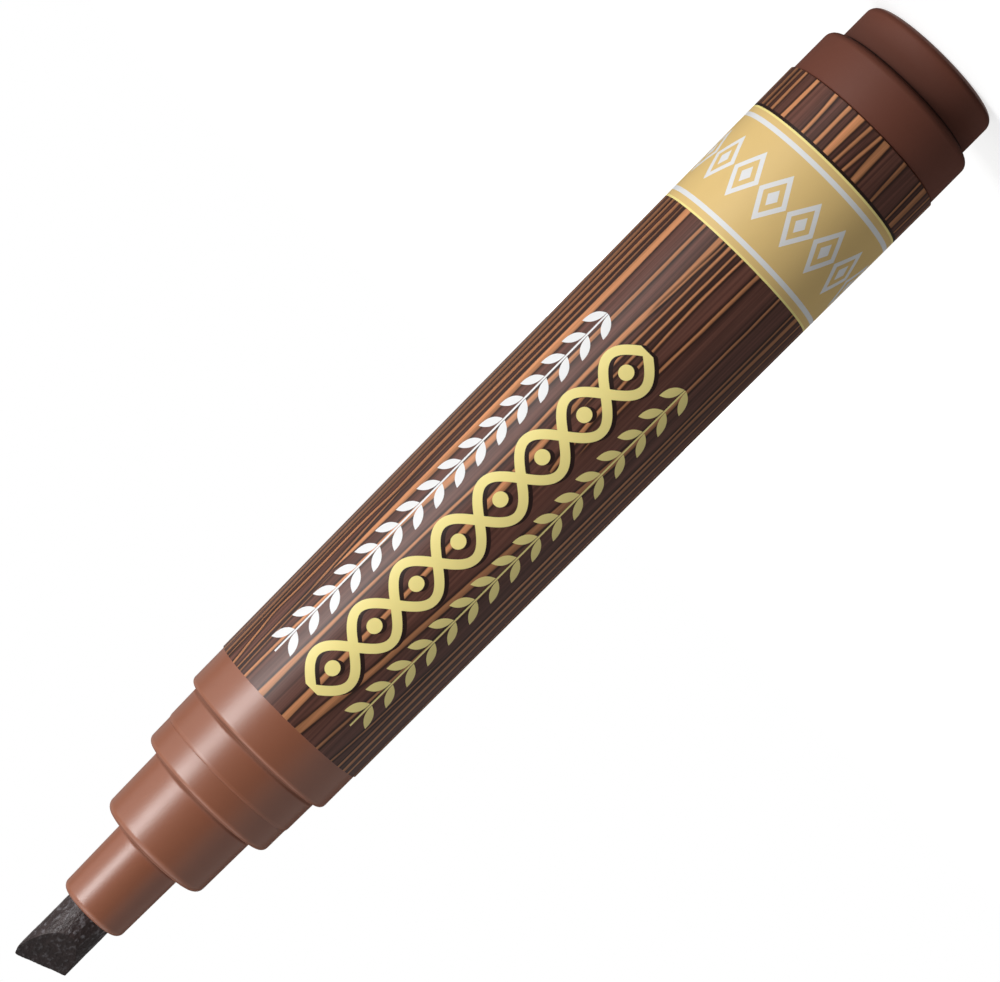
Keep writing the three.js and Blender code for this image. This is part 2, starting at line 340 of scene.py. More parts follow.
def tail_plug():
    flange_radius = plug_high.x
    post_radius = flange_radius - POST_STEP
    flange_front = POST_LENGTH + FLANGE_LENGTH
    rim = plug_high.z

    def spigot_radius(height):
        return bore_radius(height) - SPIGOT_CLEARANCE - SEAL_BEAD_HEIGHT

    cavity_radius = min(post_radius, spigot_radius(rim)) - PLUG_WALL
    beads = []
    for i in range(SEAL_BEAD_COUNT):
        middle = flange_front + (i + 1) * SEAL_BEAD_PITCH
        beads += bead(spigot_radius(middle), middle, SEAL_BEAD_WIDTH, SEAL_BEAD_HEIGHT)
    cup = turned(
        "tail_plug_moulding",
        [
            (0, GATE_MARK_DEPTH),
            (GATE_MARK_RADIUS, GATE_MARK_DEPTH, EDGE_BREAK),
            (GATE_MARK_RADIUS + GATE_MARK_DEPTH, 0, EDGE_BREAK),
            (post_radius, 0, POST_RIM_ROUNDING),
            (post_radius, POST_LENGTH - 2 * ROOT_ROUNDING, 0, POST_SHADE),
            (post_radius, POST_LENGTH, ROOT_ROUNDING),
            (flange_radius, POST_LENGTH, FLANGE_RIM_ROUNDING),
            (flange_radius, flange_front - FLANGE_FRONT_BEVEL),
            (flange_radius - FLANGE_FRONT_BEVEL, flange_front),
            (spigot_radius(flange_front), flange_front),
            *beads,
            (spigot_radius(rim), rim - LEAD_IN),
            (spigot_radius(rim) - LEAD_IN, rim),
            (cavity_radius, rim),
            (cavity_radius, PLUG_WALL, PLUG_CAVITY_ROUNDING),
            (0, PLUG_WALL),
        ],
    )
    fin_root = PLUG_WALL / 2
    fin = [
        (cavity_radius - FIN_REACH, PLUG_WALL - fin_root),
        (cavity_radius + fin_root, PLUG_WALL - fin_root),
        (cavity_radius + fin_root, rim),
        (cavity_radius - FIN_REACH, rim),
    ]
    return with_plates(cup, "UNION", fin, FIN_WIDTH, FIN_COUNT)


def barrel():
    rear = barrel_low.z
    front = barrel_high.z
    inner_shoulder = cap_shoulder - BARREL_WALL
    tube = turned(
        "barrel_moulding",
        [
            (bore_radius(rear), rear),
            (barrel_radius(rear) - EDGE_BREAK, rear),
            (barrel_radius(rear), rear + EDGE_BREAK),
            (barrel_radius(cap_shoulder), cap_shoulder, BARREL_EDGE_ROUNDING, SHELF_SHADE),
            *shaded_root(ring_rear_radius, cap_shoulder),
            (ring_front_radius, front - SEAM_BEVEL, SEAM_BEVEL_ROUNDING),
            (ring_front_radius - COLLAR_SETBACK, front),
            (ring_bore_radius, front),
            (ring_bore_radius, inner_shoulder),
            (bore_radius(inner_shoulder), inner_shoulder),
        ],
    )
    rib_rear = plug_high.z + RIB_END_GAP
    rib_front = nose_low.z - RIB_END_GAP
    rib_inner_radius = bore_radius(cap_shoulder) - RIB_HEIGHT
    rib_root = BARREL_WALL / 2
    rib = [
        (rib_inner_radius, rib_rear),
        (bore_radius(rib_rear) + rib_root, rib_rear),
        (bore_radius(rib_front) + rib_root, rib_front),
        (rib_inner_radius, rib_front),
    ]
    return with_plates(tube, "UNION", rib, RIB_WIDTH, RIB_COUNT)


def film_sleeve():
    rear = film_low.z
    front = film_high.z
    outer_rear = film_high.x
    outer_front = outer_rear - (front - rear) * BARREL_TAPER
    return turned(
        "printed_film",
        [
            (outer_rear - FILM_THICKNESS, rear),
            (outer_rear, rear, FILM_EDGE_ROUNDING),
            (outer_front, front, FILM_EDGE_ROUNDING),
            (outer_front - FILM_THICKNESS, front),
        ],
    )


def nose():
    rear = nose_low.z
    mouth = nose_high.z
    snap_front = cap_shoulder - BARREL_WALL - SEAT_GAP
    spigot_radius = ring_bore_radius - SPIGOT_CLEARANCE
    spigot_cavity_radius = spigot_radius - NOSE_WALL
    collar_rear = barrel_high.z + SEAM_GAP
    collar_front = nose_seat + COLLAR_LENGTH
    collar_rear_radius = ring_front_radius - COLLAR_SETBACK
    collar_front_radius = collar_rear_radius - COLLAR_LENGTH * NOSE_TAPER
    neck_front = collar_front + NOSE_NECK_LENGTH
    tube_front_radius = nib_bore_radius + NIB_TUBE_WALL
    tube_rear_radius = tube_front_radius + NIB_TUBE_LENGTH * NOSE_TAPER
    neck_front_radius = tube_rear_radius + NOSE_SHOULDER_WIDTH
    neck_rear_radius = neck_front_radius + NOSE_NECK_LENGTH * NOSE_TAPER
    neck_cavity_radius = neck_front_radius - NOSE_WALL
    cavity_front = neck_front - NOSE_WALL
    cavity_step = collar_front - NOSE_WALL
    guide_rear = cavity_front - NIB_GUIDE_LENGTH
    guide_radius = nib_bore_radius + NIB_GUIDE_WALL
    body = turned(
        "nose_moulding",
        [
            (spigot_cavity_radius, rear),
            (spigot_radius - LEAD_IN, rear),
            (spigot_radius, rear + LEAD_IN),
            *bead(spigot_radius, snap_front - SNAP_BEAD_WIDTH / 2, SNAP_BEAD_WIDTH, SNAP_BEAD_HEIGHT),
            (spigot_radius, collar_rear),
            (collar_rear_radius, collar_rear),
            (collar_front_radius, collar_front, COLLAR_ROUNDING, SHELF_SHADE),
            *shaded_root(neck_rear_radius, collar_front),
            (neck_front_radius, neck_front, NOSE_NECK_ROUNDING, SHELF_SHADE),
            *shaded_root(tube_rear_radius, neck_front),
            (tube_front_radius, mouth, NIB_TUBE_ROUNDING),
            (nib_bore_radius, mouth),
            (nib_bore_radius, guide_rear),
            (guide_radius, guide_rear),
            (guide_radius, cavity_front),
            (neck_cavity_radius, cavity_front),
            (neck_cavity_radius, cavity_step),
            (spigot_cavity_radius, cavity_step),
        ],
    )
    groove = [
        (nib_high.x, guide_rear - LEAD_IN),
        (nib_bore_radius + AIR_GROOVE_DEPTH, guide_rear - LEAD_IN),
        (nib_bore_radius + AIR_GROOVE_DEPTH, mouth + LEAD_IN),
        (nib_high.x, mouth + LEAD_IN),
    ]
    return with_plates(body, "DIFFERENCE", groove, AIR_GROOVE_WIDTH, AIR_GROOVE_COUNT)


def nib_roof(x, y):
    """Height of the nib's cut top: a slanted ridge along X, a wedge face on each side and a worn point."""
    ridge = (nib_high.x - NIB_POINT_FLAT - x) * math.tan(NIB_SLANT)
    past_edge = abs(y) - NIB_EDGE_WIDTH / 2
    soft_drop = (past_edge + math.hypot(past_edge, NIB_EDGE_SOFTNESS)) / 2
    fall = ridge + soft_drop / (math.tan(NIB_HALF_WEDGE) * math.cos(NIB_SLANT))
    past_point = x - (nib_high.x - NIB_CORNER_WIDTH)
    worn_and_edge_lit = past_point * NIB_CORNER_DROP / NIB_CORNER_WIDTH
    return nib_high.z - max(fall, worn_and_edge_lit, 0)


def disc_place(a, b):
    """The place on the unit disc of a place on the square from -1 to 1. The square's rings become circles."""
    if abs(a) < 1e-9 and abs(b) < 1e-9:
        return 0.0, 0.0
    if abs(a) > abs(b):
        radius, angle = a, math.pi / 4 * b / a
    else:
        radius, angle = b, math.pi / 2 - math.pi / 4 * a / b
    return radius * math.cos(angle), radius * math.sin(angle)


def nib_top(build):
    """The nib's cut top, as a grid of vertices on its disc."""
    grid = {}
    for i in range(NIB_GRID + 1):
        for j in range(NIB_GRID + 1):
            a, b = disc_place(2 * i / NIB_GRID - 1, 2 * j / NIB_GRID - 1)
            x, y = a * nib_high.x, b * nib_high.x
            grid[i, j] = build.verts.new((x, y, nib_roof(x, y)))
    for i in range(NIB_GRID):
        for j in range(NIB_GRID):
            build.faces.new((grid[i, j], grid[i + 1, j], grid[i + 1, j + 1], grid[i, j + 1]))
    return grid


def nib_rim(grid):
    """The vertices of the cut top's border, once round."""
    steps = range(NIB_GRID)
    rim = [grid[i, 0] for i in steps] + [grid[NIB_GRID, j] for j in steps]
    return rim + [grid[NIB_GRID - i, NIB_GRID] for i in steps] + [grid[0, NIB_GRID - j] for j in steps]


def joined_loops(build, upper, lower):
    """Faces between two loops with as many vertices each."""
    for i in range(len(upper)):
        build.faces.new((lower[i - 1], lower[i], upper[i], upper[i - 1]))


def nib_wall(build, rim):
    """Rows of vertices down the nib's side, fine ones below the cut and coarse ones to its rear."""
    rows = [rim]
    for row in range(1, NIB_FINE_ROWS + NIB_COARSE_ROWS + 1):
        share = max(row - NIB_FINE_ROWS, 0) / NIB_COARSE_ROWS
        lower = []
        for vertex in rim:
            x, y, top = vertex.co
            height = top - min(row, NIB_FINE_ROWS) * NIB_ROW_HEIGHT
            height += (nib_low.z + NIB_REAR_ROUNDING - height) * share
            lower.append(build.verts.new((x, y, height)))
        joined_loops(build, rows[-1], lower)
        rows.append(lower)
    return rows[1:]


def nib_rear(build, rim, upper):
    """The nib's rounded rear end."""
    for step in range(1, ARC_STEPS + 1):
        turn = math.pi / 2 * step / ARC_STEPS
        share = 1 - NIB_REAR_ROUNDING * (1 - math.cos(turn)) / nib_high.x
        height = nib_low.z + NIB_REAR_ROUNDING * (1 - math.sin(turn))
        lower = [build.verts.new((v.co.x * share, v.co.y * share, height)) for v in rim]
        joined_loops(build, upper, lower)
        upper = lower
    build.faces.new(upper[::-1])


def felt_nib():
    """A felt rod with a chisel cut, its edges softened and its surface roughened by its fibres."""
    build = bmesh.new()
    edge = build.verts.layers.float.new("edge")
    grid = nib_top(build)
    # The cut top has the edge value -1, so its finish darkens it with painted shade and gives it fewer pale
    # fibres.
    for vertex in grid.values():
        vertex[edge] = -1.0
    rim = nib_rim(grid)
    wall = nib_wall(build, rim)
    nib_rear(build, rim, wall[-1])
    build.normal_update()
    soft_edge = rim + wall[0] + wall[1]
    soft_edge += [v for (i, j), v in grid.items() if min(i, j, NIB_GRID - i, NIB_GRID - j) in (1, 2)]
    axes = dict.fromkeys(("use_axis_x", "use_axis_y", "use_axis_z"), True)
    for _ in range(NIB_SMOOTHINGS):
        bmesh.ops.smooth_vert(build, verts=soft_edge, factor=NIB_SMOOTHING_SHARE, **axes)
    build.normal_update()
    roughened = list(grid.values())
    for row in wall[:NIB_FINE_ROWS]:
        roughened += row
    for vertex in roughened:
        x, y, z = vertex.co / MM
        fuzz = noise.noise((NIB_FUZZ_ACROSS * x, NIB_FUZZ_ACROSS * y, NIB_FUZZ_ALONG * z))
        dent = noise.noise((NIB_DENT_ACROSS * x + NIB_DENT_START, NIB_DENT_ACROSS * y, NIB_DENT_ALONG * z))
        rise = NIB_FUZZ * (fuzz - NIB_SUNK_SHARE) + NIB_DENT * (dent - NIB_SUNK_SHARE)
        vertex.co += vertex.normal * rise
    return shown("felt_nib", build)


def fibre_core():
    radius = core_high.x
    socket_floor = nib_low.z - CORE_SOCKET_GAP
    return turned(
        "fibre_core",
        [
            (0, core_low.z),
            (radius, core_low.z, EDGE_BREAK),
            (radius, core_high.z, EDGE_BREAK),
            (nib_bore_radius, core_high.z),
            (nib_bore_radius, socket_floor),
            (0, socket_floor),
        ],
    )


def core_wrap():
    radius = wrap_high.x
    inner_radius = radius - WRAP_THICKNESS
    return turned(
        "core_wrap",
        [
            (inner_radius, wrap_low.z),
            (radius, wrap_low.z),
            (radius, wrap_high.z),
            (inner_radius, wrap_high.z),
        ],
    )


# Shader helpers
def paint(red, green, blue):
    """A colour written as it looks on a screen, 0 to 255, in the linear values that shaders take."""

    def linear(level):
        share = level / 255
        return share / 12.92 if share <= 0.04045 else ((share + 0.055) / 1.055) ** 2.4

    return (linear(red), linear(green), linear(blue), 1.0)


def fed(tree, socket, value):
    """Gives a socket a plain value or another node's output."""
    if isinstance(value, bpy.types.NodeSocket):
        tree.links.new(value, socket)
    else:
        socket.default_value = value


def place(tree, kind, inputs=None, **settings):
    """A node with its settings and what its inputs are given."""
    made = tree.nodes.new(kind)
    for name, value in settings.items():
        setattr(made, name, value)
    for socket, value in (inputs or {}).items():
        fed(tree, made.inputs[socket], value)
    return made


def worked(tree, operation, *operands):
    """The result of a Math node."""
    return place(tree, "ShaderNodeMath", dict(enumerate(operands)), operation=operation).outputs[0]


def blended(tree, share, under, over):
    """One colour over another by a share from 0 to 1."""
    factor, first, second, result = 0, 6, 7, 2
    inputs = {factor: share, first: under, second: over}
    return place(tree, "ShaderNodeMix", inputs, data_type="RGBA").outputs[result]


def lit(tree, colour, level):
    """A colour made lighter or darker by a level."""
    if isinstance(colour, tuple):
        colour = colour[:3]
    return place(tree, "ShaderNodeVectorMath", {0: colour, "Scale": level}, operation="SCALE").outputs[0]


def eased(tree, value, low, high, to_low=0.0, to_high=1.0):
    """A value that runs smoothly from to_low at low to to_high at high."""
    inputs = {"Value": value, "From Min": low, "From Max": high, "To Min": to_low, "To Max": to_high}
    return place(tree, "ShaderNodeMapRange", inputs, interpolation_type="SMOOTHSTEP").outputs[0]


def object_place(tree):
    return place(tree, "ShaderNodeTexCoord").outputs["Object"]


def cloud(tree, where, per_metre, detail=2.0):
    """Noise from 0 to 1. per_metre is its fineness along X, Y and Z."""
    stretched = place(tree, "ShaderNodeVectorMath", {0: where, 1: per_metre}, operation="MULTIPLY").outputs[0]
    return place(tree, "ShaderNodeTexNoise", {"Vector": stretched, "Scale": 1.0, "Detail": detail}).outputs[0]


def centred(tree, value, reach):
    """A value from 0 to 1 as a value from -reach to reach."""
    return worked(tree, "MULTIPLY", worked(tree, "SUBTRACT", value, 0.5), 2 * reach)


def curve_of(tree, value, points):
    """A value read off a smooth curve through the points."""
    made = place(tree, "ShaderNodeFloatCurve", {"Value": value})
    curve = made.mapping.curves[0]
    for i, point in enumerate(points):
        if i < len(curve.points):
            curve.points[i].location = point
        else:
            curve.points.new(*point)
    made.mapping.update()
    return made.outputs[0]


def group_tree(name, inputs, outputs):
    """A shader node group with named sockets: its tree, what it is given, and where its results go."""
    tree = bpy.data.node_groups.new(name, "ShaderNodeTree")
    for direction, sockets in (("INPUT", inputs), ("OUTPUT", outputs)):
        for socket, kind in sockets.items():
            tree.interface.new_socket(socket, in_out=direction, socket_type="NodeSocket" + kind)
    given = tree.nodes.new("NodeGroupInput").outputs
    results = tree.nodes.new("NodeGroupOutput").inputs
    return tree, given, results


def grouped(tree, group, inputs):
    """A placed node group's outputs."""
    return place(tree, "ShaderNodeGroup", inputs, node_tree=group).outputs


def new_finish(name, **plain):
    """A material's tree and its shader, with the plain values set on the shader's own sockets."""
    material = bpy.data.materials.new(name)
    material.use_nodes = True
    tree = material.node_tree
    shader = tree.nodes["Principled BSDF"]
    for socket, value in plain.items():
        shader.inputs[socket.replace("_", " ")].default_value = value
    return material, tree, shader


def edge_value(tree):
    """The mesh's edge value: 1 on a standing edge, below 0 where shade is painted, -1 in a recess and on the
    nib's cut top.
    """
    return place(tree, "ShaderNodeAttribute", attribute_name="edge").outputs["Fac"]


def surfaced(tree, shader, look, height, depth):
    """Gives the shader a look's colour and roughness, and a relief from 0 to 1 at its real depth."""
    tree.links.new(look["Colour"], shader.inputs["Base Color"])
    tree.links.new(look["Roughness"], shader.inputs["Roughness"])
    bump = place(tree, "ShaderNodeBump", {"Height": height, "Strength": 1.0, "Distance": depth})
    tree.links.new(bump.outputs["Normal"], shader.inputs["Normal"])


# Fineness of the noises, per metre along X, Y and Z
FLOW_PER_METRE = (420, 420, 90)
GLOSS_PER_METRE = (900, 900, 500)
SKIN_PER_METRE = (2600, 2600, 2600)
WEAR_PER_METRE = (700, 700, 700)
CLUMPS_PER_METRE = (1500, 1500, 500)
PORES_PER_METRE = (2400, 2400, 60)
LINES_PER_METRE = (5200, 5200, 25)
STRANDS_PER_METRE = (1500, 1500, 45)
SWAY_PER_METRE = (160, 160, 60)
RAGGED_PER_METRE = (1800, 1800, 320)

GLOSS_SPREAD = 0.02
DULLEST = 0.9


# Effects that several finishes share
def moulded_skin_group():
    """Moulded plastic: faint flow marks in colour and gloss, and a fine uneven skin."""
    tree, given, results = group_tree(
        "moulded_skin",
        {"Colour": "Color", "Roughness": "Float", "Flow": "Float"},
        {"Colour": "Color", "Roughness": "Float", "Height": "Float"},
    )
    where = object_place(tree)
    flow = centred(tree, cloud(tree, where, FLOW_PER_METRE, 3.0), 1.0)
    gloss = centred(tree, cloud(tree, where, GLOSS_PER_METRE, 3.0), GLOSS_SPREAD)
    level = worked(tree, "ADD", 1.0, worked(tree, "MULTIPLY", flow, given["Flow"]))
    tree.links.new(lit(tree, given["Colour"], level), results["Colour"])
    tree.links.new(worked(tree, "ADD", given["Roughness"], gloss), results["Roughness"])
    tree.links.new(cloud(tree, where, SKIN_PER_METRE), results["Height"])
    return tree


def edge_wear_and_painted_light_group():
    """Standing edges lightened, partly as rubbed wear and partly as a painted edge highlight, and places
    below an edge value of 0 made dull and darkened with painted shade, from the mesh's edge value.
    """
    names = ("Edge", "Wear And Edge Light", "Painted Shade", "Roughness", "Dullness")
    inputs = {"Colour": "Color", "Worn And Edge Lit Colour": "Color"} | dict.fromkeys(names, "Float")
    tree, given, results = group_tree("edge_wear_and_painted_light", inputs, {"Colour": "Color", "Roughness": "Float"})
    patches = eased(tree, cloud(tree, object_place(tree), WEAR_PER_METRE, 3.0), 0.3, 0.7, 0.7, 1.0)
    standing = worked(tree, "MAXIMUM", given["Edge"], 0.0)
    shade_and_dullness = worked(tree, "MAXIMUM", worked(tree, "MULTIPLY", given["Edge"], -1.0), 0.0)
    # Standing edges are lightened: rubbed wear and a painted edge highlight.
    wear_and_edge_light_share = worked(tree, "MULTIPLY", worked(tree, "MULTIPLY", standing, patches), given["Wear And Edge Light"])
    worn_and_edge_lit = blended(tree, wear_and_edge_light_share, given["Colour"], given["Worn And Edge Lit Colour"])
    # Places below an edge value of 0 are darkened with painted shade and made dull.
    shade = worked(tree, "SUBTRACT", 1.0, worked(tree, "MULTIPLY", shade_and_dullness, given["Painted Shade"]))
    dulled = worked(tree, "MULTIPLY_ADD", shade_and_dullness, given["Dullness"], given["Roughness"])
    tree.links.new(lit(tree, worn_and_edge_lit, shade), results["Colour"])
    tree.links.new(worked(tree, "MINIMUM", dulled, DULLEST), results["Roughness"])
    return tree


def fibre_strands_group():
    """Bundled fibres along Z: pale and dark strands, and their relief."""
    tree, given, results = group_tree(
        "fibre_strands",
        {"Colour": "Color", "Pale Colour": "Color", "Pale Share": "Float", "Fineness": "Vector"},
        {"Colour": "Color", "Height": "Float"},
    )
    where = object_place(tree)
    strands = cloud(tree, where, given["Fineness"], 3.0)
    clumps = cloud(tree, where, CLUMPS_PER_METRE)
    share = worked(tree, "MULTIPLY", eased(tree, strands, 0.5, 0.72), given["Pale Share"])
    shade = lit(tree, given["Colour"], eased(tree, clumps, 0.2, 0.8, 0.7, 1.25))
    tree.links.new(blended(tree, share, shade, given["Pale Colour"]), results["Colour"])
    tree.links.new(strands, results["Height"])
    return tree


moulded_skin = moulded_skin_group()
edge_wear_and_painted_light = edge_wear_and_painted_light_group()
fibre_strands = fibre_strands_group()


# Wood grain of the film. A streak is its share of tan, then its knots of (share of the film's length from
# the tail, degrees round from the camera's side toward +X, degrees wide).
GRAIN_STREAKS = (
    (0.4, (0.0, 70.5, 4.6), (0.5, 70.0, 5.4), (0.8, 69.5, 4.4), (1.0, 67, 3.6)),
    (0.45, (0.0, 64, 2.8), (0.4, 63.8, 3.4), (0.8, 64.5, 2.4), (1.0, 61.5, 1.6)),
    (
        0.75,
        (0.0, 57.5, 3.0), (0.17, 56.6, 3.2), (0.46, 57.6, 3.4), (0.64, 58.1, 3.4), (0.71, 56.8, 3.0),
        (0.77, 58.5, 2.6), (0.88, 57.8, 2.4), (0.92, 58.6, 2.2), (0.95, 56, 2.2), (1.0, 51.7, 2.4),
    ),
    (0.5, (0.15, 50.5, 0.0), (0.25, 51.5, 1.4), (0.6, 52, 1.5), (0.75, 53, 0.0)),
    (0.8, (0.7, 53.5, 0.0), (0.74, 52.5, 1.5), (0.8, 50.5, 2.0), (0.88, 47.5, 1.6), (0.93, 46, 0.0)),
    (
        1.0,
        (0.0, 44.5, 3.0), (0.2, 45.3, 5.0), (0.35, 45.2, 5.6), (0.6, 45.4, 5.6), (0.75, 46, 4.0),
        (0.84, 47, 0.0),
    ),
    (0.55, (0.84, 48, 0.0), (0.92, 47.4, 1.3), (1.0, 46.4, 1.4)),
    (0.5, (0.78, 44, 0.0), (0.9, 43.6, 1.1), (1.0, 42.4, 1.2)),
    (
        1.0,
        (0.0, 27.8, 3.0), (0.05, 26.8, 2.4), (0.17, 28.6, 2.4), (0.3, 29.2, 2.6), (0.47, 29.8, 3.4),
        (0.58, 30.1, 4.4), (0.65, 30.6, 5.0), (0.71, 33, 4.0), (0.83, 35, 2.6), (0.95, 36.2, 2.2),
        (1.0, 36.7, 2.4),
    ),
    (
        0.9,
        (0.0, 16.6, 2.6), (0.1, 16.6, 2.8), (0.29, 15.4, 3.8), (0.42, 16.4, 3.2), (0.59, 15.6, 2.2),
        (0.71, 17.4, 2.0), (0.83, 19.4, 2.2), (0.93, 19.9, 3.4), (1.0, 20.4, 5.0),
    ),
    (0.8, (0.18, 11.5, 0.0), (0.27, 13, 1.4), (0.36, 14.5, 0.0)),
    (
        0.95,
        (0.0, 7.6, 5.4), (0.05, 7.9, 4.4), (0.1, 7.9, 3.0), (0.2, 8.6, 2.2), (0.32, 8.8, 1.7),
        (0.41, 8.8, 1.9), (0.47, 7.8, 2.6), (0.53, 6.3, 3.8), (0.59, 4.9, 4.6), (0.65, 3.5, 4.6),
        (0.71, 1.6, 3.6), (0.77, 0.4, 3.0), (0.89, -0.4, 3.6), (1.0, -0.5, 4.8),
    ),
    (
        0.9,
        (0.0, -0.8, 2.4), (0.1, 2, 1.9), (0.2, 3.2, 1.6), (0.32, 3.6, 1.8), (0.41, 3.6, 1.6),
        (0.5, 3, 0.0),
    ),
    (
        0.9,
        (0.0, -8.8, 2.2), (0.1, -5, 2.0), (0.2, -2.4, 1.8), (0.29, -1, 1.8), (0.36, -1.8, 1.8),
        (0.41, -3, 1.8), (0.47, -5, 2.4), (0.53, -7.4, 3.0), (0.57, -10, 0.0),
    ),
    (
        0.8,
        (0.0, -13.6, 5.0), (0.05, -14.6, 4.4), (0.1, -15.6, 3.2), (0.17, -15.8, 2.8), (0.3, -14, 2.4),
        (0.42, -13.2, 1.8), (0.48, -13.6, 1.4), (0.54, -15, 0.0),
    ),
    (
        0.7,
        (0.0, -30.2, 3.2), (0.05, -31.2, 2.4), (0.11, -33.1, 2.0), (0.2, -35, 1.9), (0.35, -35.4, 2.2),
        (0.47, -35.1, 3.6), (0.53, -33.5, 4.6), (0.59, -30.8, 4.8), (0.65, -27.7, 5.0), (0.71, -25.3, 4.6),
        (0.77, -23, 4.0), (0.83, -20.8, 3.8), (0.89, -18.5, 4.2), (0.95, -14.6, 5.4), (1.0, -12.1, 5.0),
    ),
    (0.8, (0.7, -35, 0.0), (0.76, -34.4, 1.2), (0.83, -33.4, 1.6), (0.95, -30.2, 1.9), (1.0, -28.6, 2.0)),
    (0.7, (0.8, -48.5, 0.0), (0.89, -47, 1.4), (0.95, -45.2, 1.7), (1.0, -42.8, 1.8)),
    (
        0.75,
        (0.0, -48.6, 2.4), (0.2, -52, 1.8), (0.36, -52.8, 2.0), (0.6, -52.6, 2.4), (0.8, -52, 2.0),
        (1.0, -51.6, 2.4),
    ),
    (0.65, (0.0, -57.2, 6.0), (0.2, -58.4, 4.4), (0.4, -57, 3.2), (0.7, -57.4, 3.2), (1.0, -59, 3.2)),
    (0.65, (0.0, -68, 2.4), (0.3, -66.5, 2.0), (0.6, -65, 2.8), (1.0, -65.5, 2.4)),
    (0.4, (0.0, 81, 4.4), (0.4, 79.5, 6.0), (0.7, 78, 5.0), (1.0, 76, 4.4)),
    (0.9, (0.0, 93, 2.0), (0.3, 91, 4.6), (0.6, 90, 5.4), (1.0, 86, 2.4)),
    (0.8, (0.25, 103, 0.0), (0.4, 101, 2.2), (0.7, 98, 3.0), (1.0, 97, 2.0)),
    (0.7, (0.0, 108, 4.2), (0.35, 111, 2.6), (0.65, 110, 3.4), (1.0, 107, 4.6)),
    (0.9, (0.0, 122, 2.6), (0.3, 119, 2.0), (0.6, 117.5, 2.6), (0.8, 115, 0.0)),
    (0.85, (0.0, 131, 3.2), (0.4, 130, 5.6), (0.75, 127, 4.2), (1.0, 124, 2.2)),
    (0.7, (0.0, 141, 1.8), (0.3, 143, 2.6), (0.6, 140, 2.0), (1.0, 137, 3.4)),
    (0.95, (0.0, 152, 4.8), (0.25, 154, 3.0), (0.6, 151, 3.4), (1.0, 149, 5.2)),
    (0.75, (0.4, 163, 0.0), (0.55, 160, 2.0), (0.8, 158, 2.4), (1.0, 158, 1.6)),
    (0.85, (0.0, 168, 2.8), (0.5, 171, 4.6), (1.0, 169, 3.4)),
    (0.7, (0.0, 180, 2.0), (0.4, 183, 2.6), (0.7, 181, 3.6), (1.0, 179, 2.4)),
    (0.9, (0.0, -166, 4.8), (0.3, -168, 3.0), (0.7, -165, 2.2), (1.0, -168, 4.0)),
    (0.8, (0.0, -154, 2.0), (0.3, -156, 2.8), (0.6, -157, 0.0)),
    (0.9, (0.0, -144, 3.0), (0.5, -147, 5.2), (0.8, -151, 3.6), (1.0, -155, 2.0)),
    (0.65, (0.0, -133, 4.4), (0.4, -136, 2.8), (0.8, -139, 3.0), (1.0, -142, 4.2)),
    (0.85, (0.0, -124, 2.0), (0.4, -125, 2.6), (0.75, -128, 4.6), (1.0, -130, 3.0)),
    (0.75, (0.3, -112, 0.0), (0.45, -114, 2.0), (0.75, -117, 2.6), (1.0, -118, 1.6)),
    (0.9, (0.0, -105, 5.0), (0.35, -107, 3.6), (0.7, -106, 2.6), (1.0, -108, 4.4)),
    (0.7, (0.0, -92, 2.4), (0.4, -95, 3.4), (0.7, -94, 4.2), (1.0, -96, 2.6)),
    (0.6, (0.0, -80, 3.4), (0.5, -77, 3.0), (1.0, -80, 4.2)),
)

# In degrees, the most that the curves of a streak's width and of its place can hold, and its least half width
WIDEST_STREAK = 20.0
FARTHEST_STREAK = 360.0
LEAST_HALF_WIDTH = 0.2

# Degrees past a streak's edge where its tan ends and where the dark line beside it runs, the widths at which
# it fades in, and its levels of light
STREAK_EDGE = (-0.7, 0.35)
STREAK_LINE = (0.4, 2.4)
STREAK_FADE = (0.1, 0.9)
STREAK_LINE_DEPTH = 0.72
STREAK_LEVELS = (0.72, 1.1)
GRAIN_SWAY = 1.1
GRAIN_RAGGEDNESS = 0.35
GRAIN_DARK = paint(94, 59, 49)
GRAIN_TAN = paint(206, 140, 95)

# Print on the film: a twined row and two rows of leaves along it, and a gold band round it. In millimetres,
# and a lozenge's frame and core as shares of its reach.
ROW_REAR = 38.4
ROW_FRONT = 81.6
TWINE_LOOP = 5.4
TWINE_REACH = 2.3
TWINE_STROKE = 0.95
TWINE_DOT = 0.75
LEAF_ROW_OFFSET = 5.4
LEAF_PITCH = 2.7
LEAF_LENGTH = 2.5
LEAF_WIDTH = 0.95
LEAF_ROOT = 0.15
LEAF_STEM = 0.1
LEAF_LEAN = math.radians(36)
PRINT_SHADOW = 0.3
BAND_REAR = 14.6
BAND_FRONT = 26.4
BAND_RIM = 0.22
BAND_LINE = 0.5
BAND_LINE_INSET = 1.1
BAND_LOZENGES = 16
LOZENGE_HEIGHT = 5.6
LOZENGE_LENGTH_SHARE = 0.94
LOZENGE_FRAME = 0.84
LOZENGE_FRAME_HALF_WIDTH = 0.16
LOZENGE_CORE = 0.34
PALE_GOLD = paint(250, 233, 150)
GOLD = paint(230, 197, 130)
WHITE_INK = paint(234, 234, 234)
INK_SHADOW = paint(38, 20, 17)


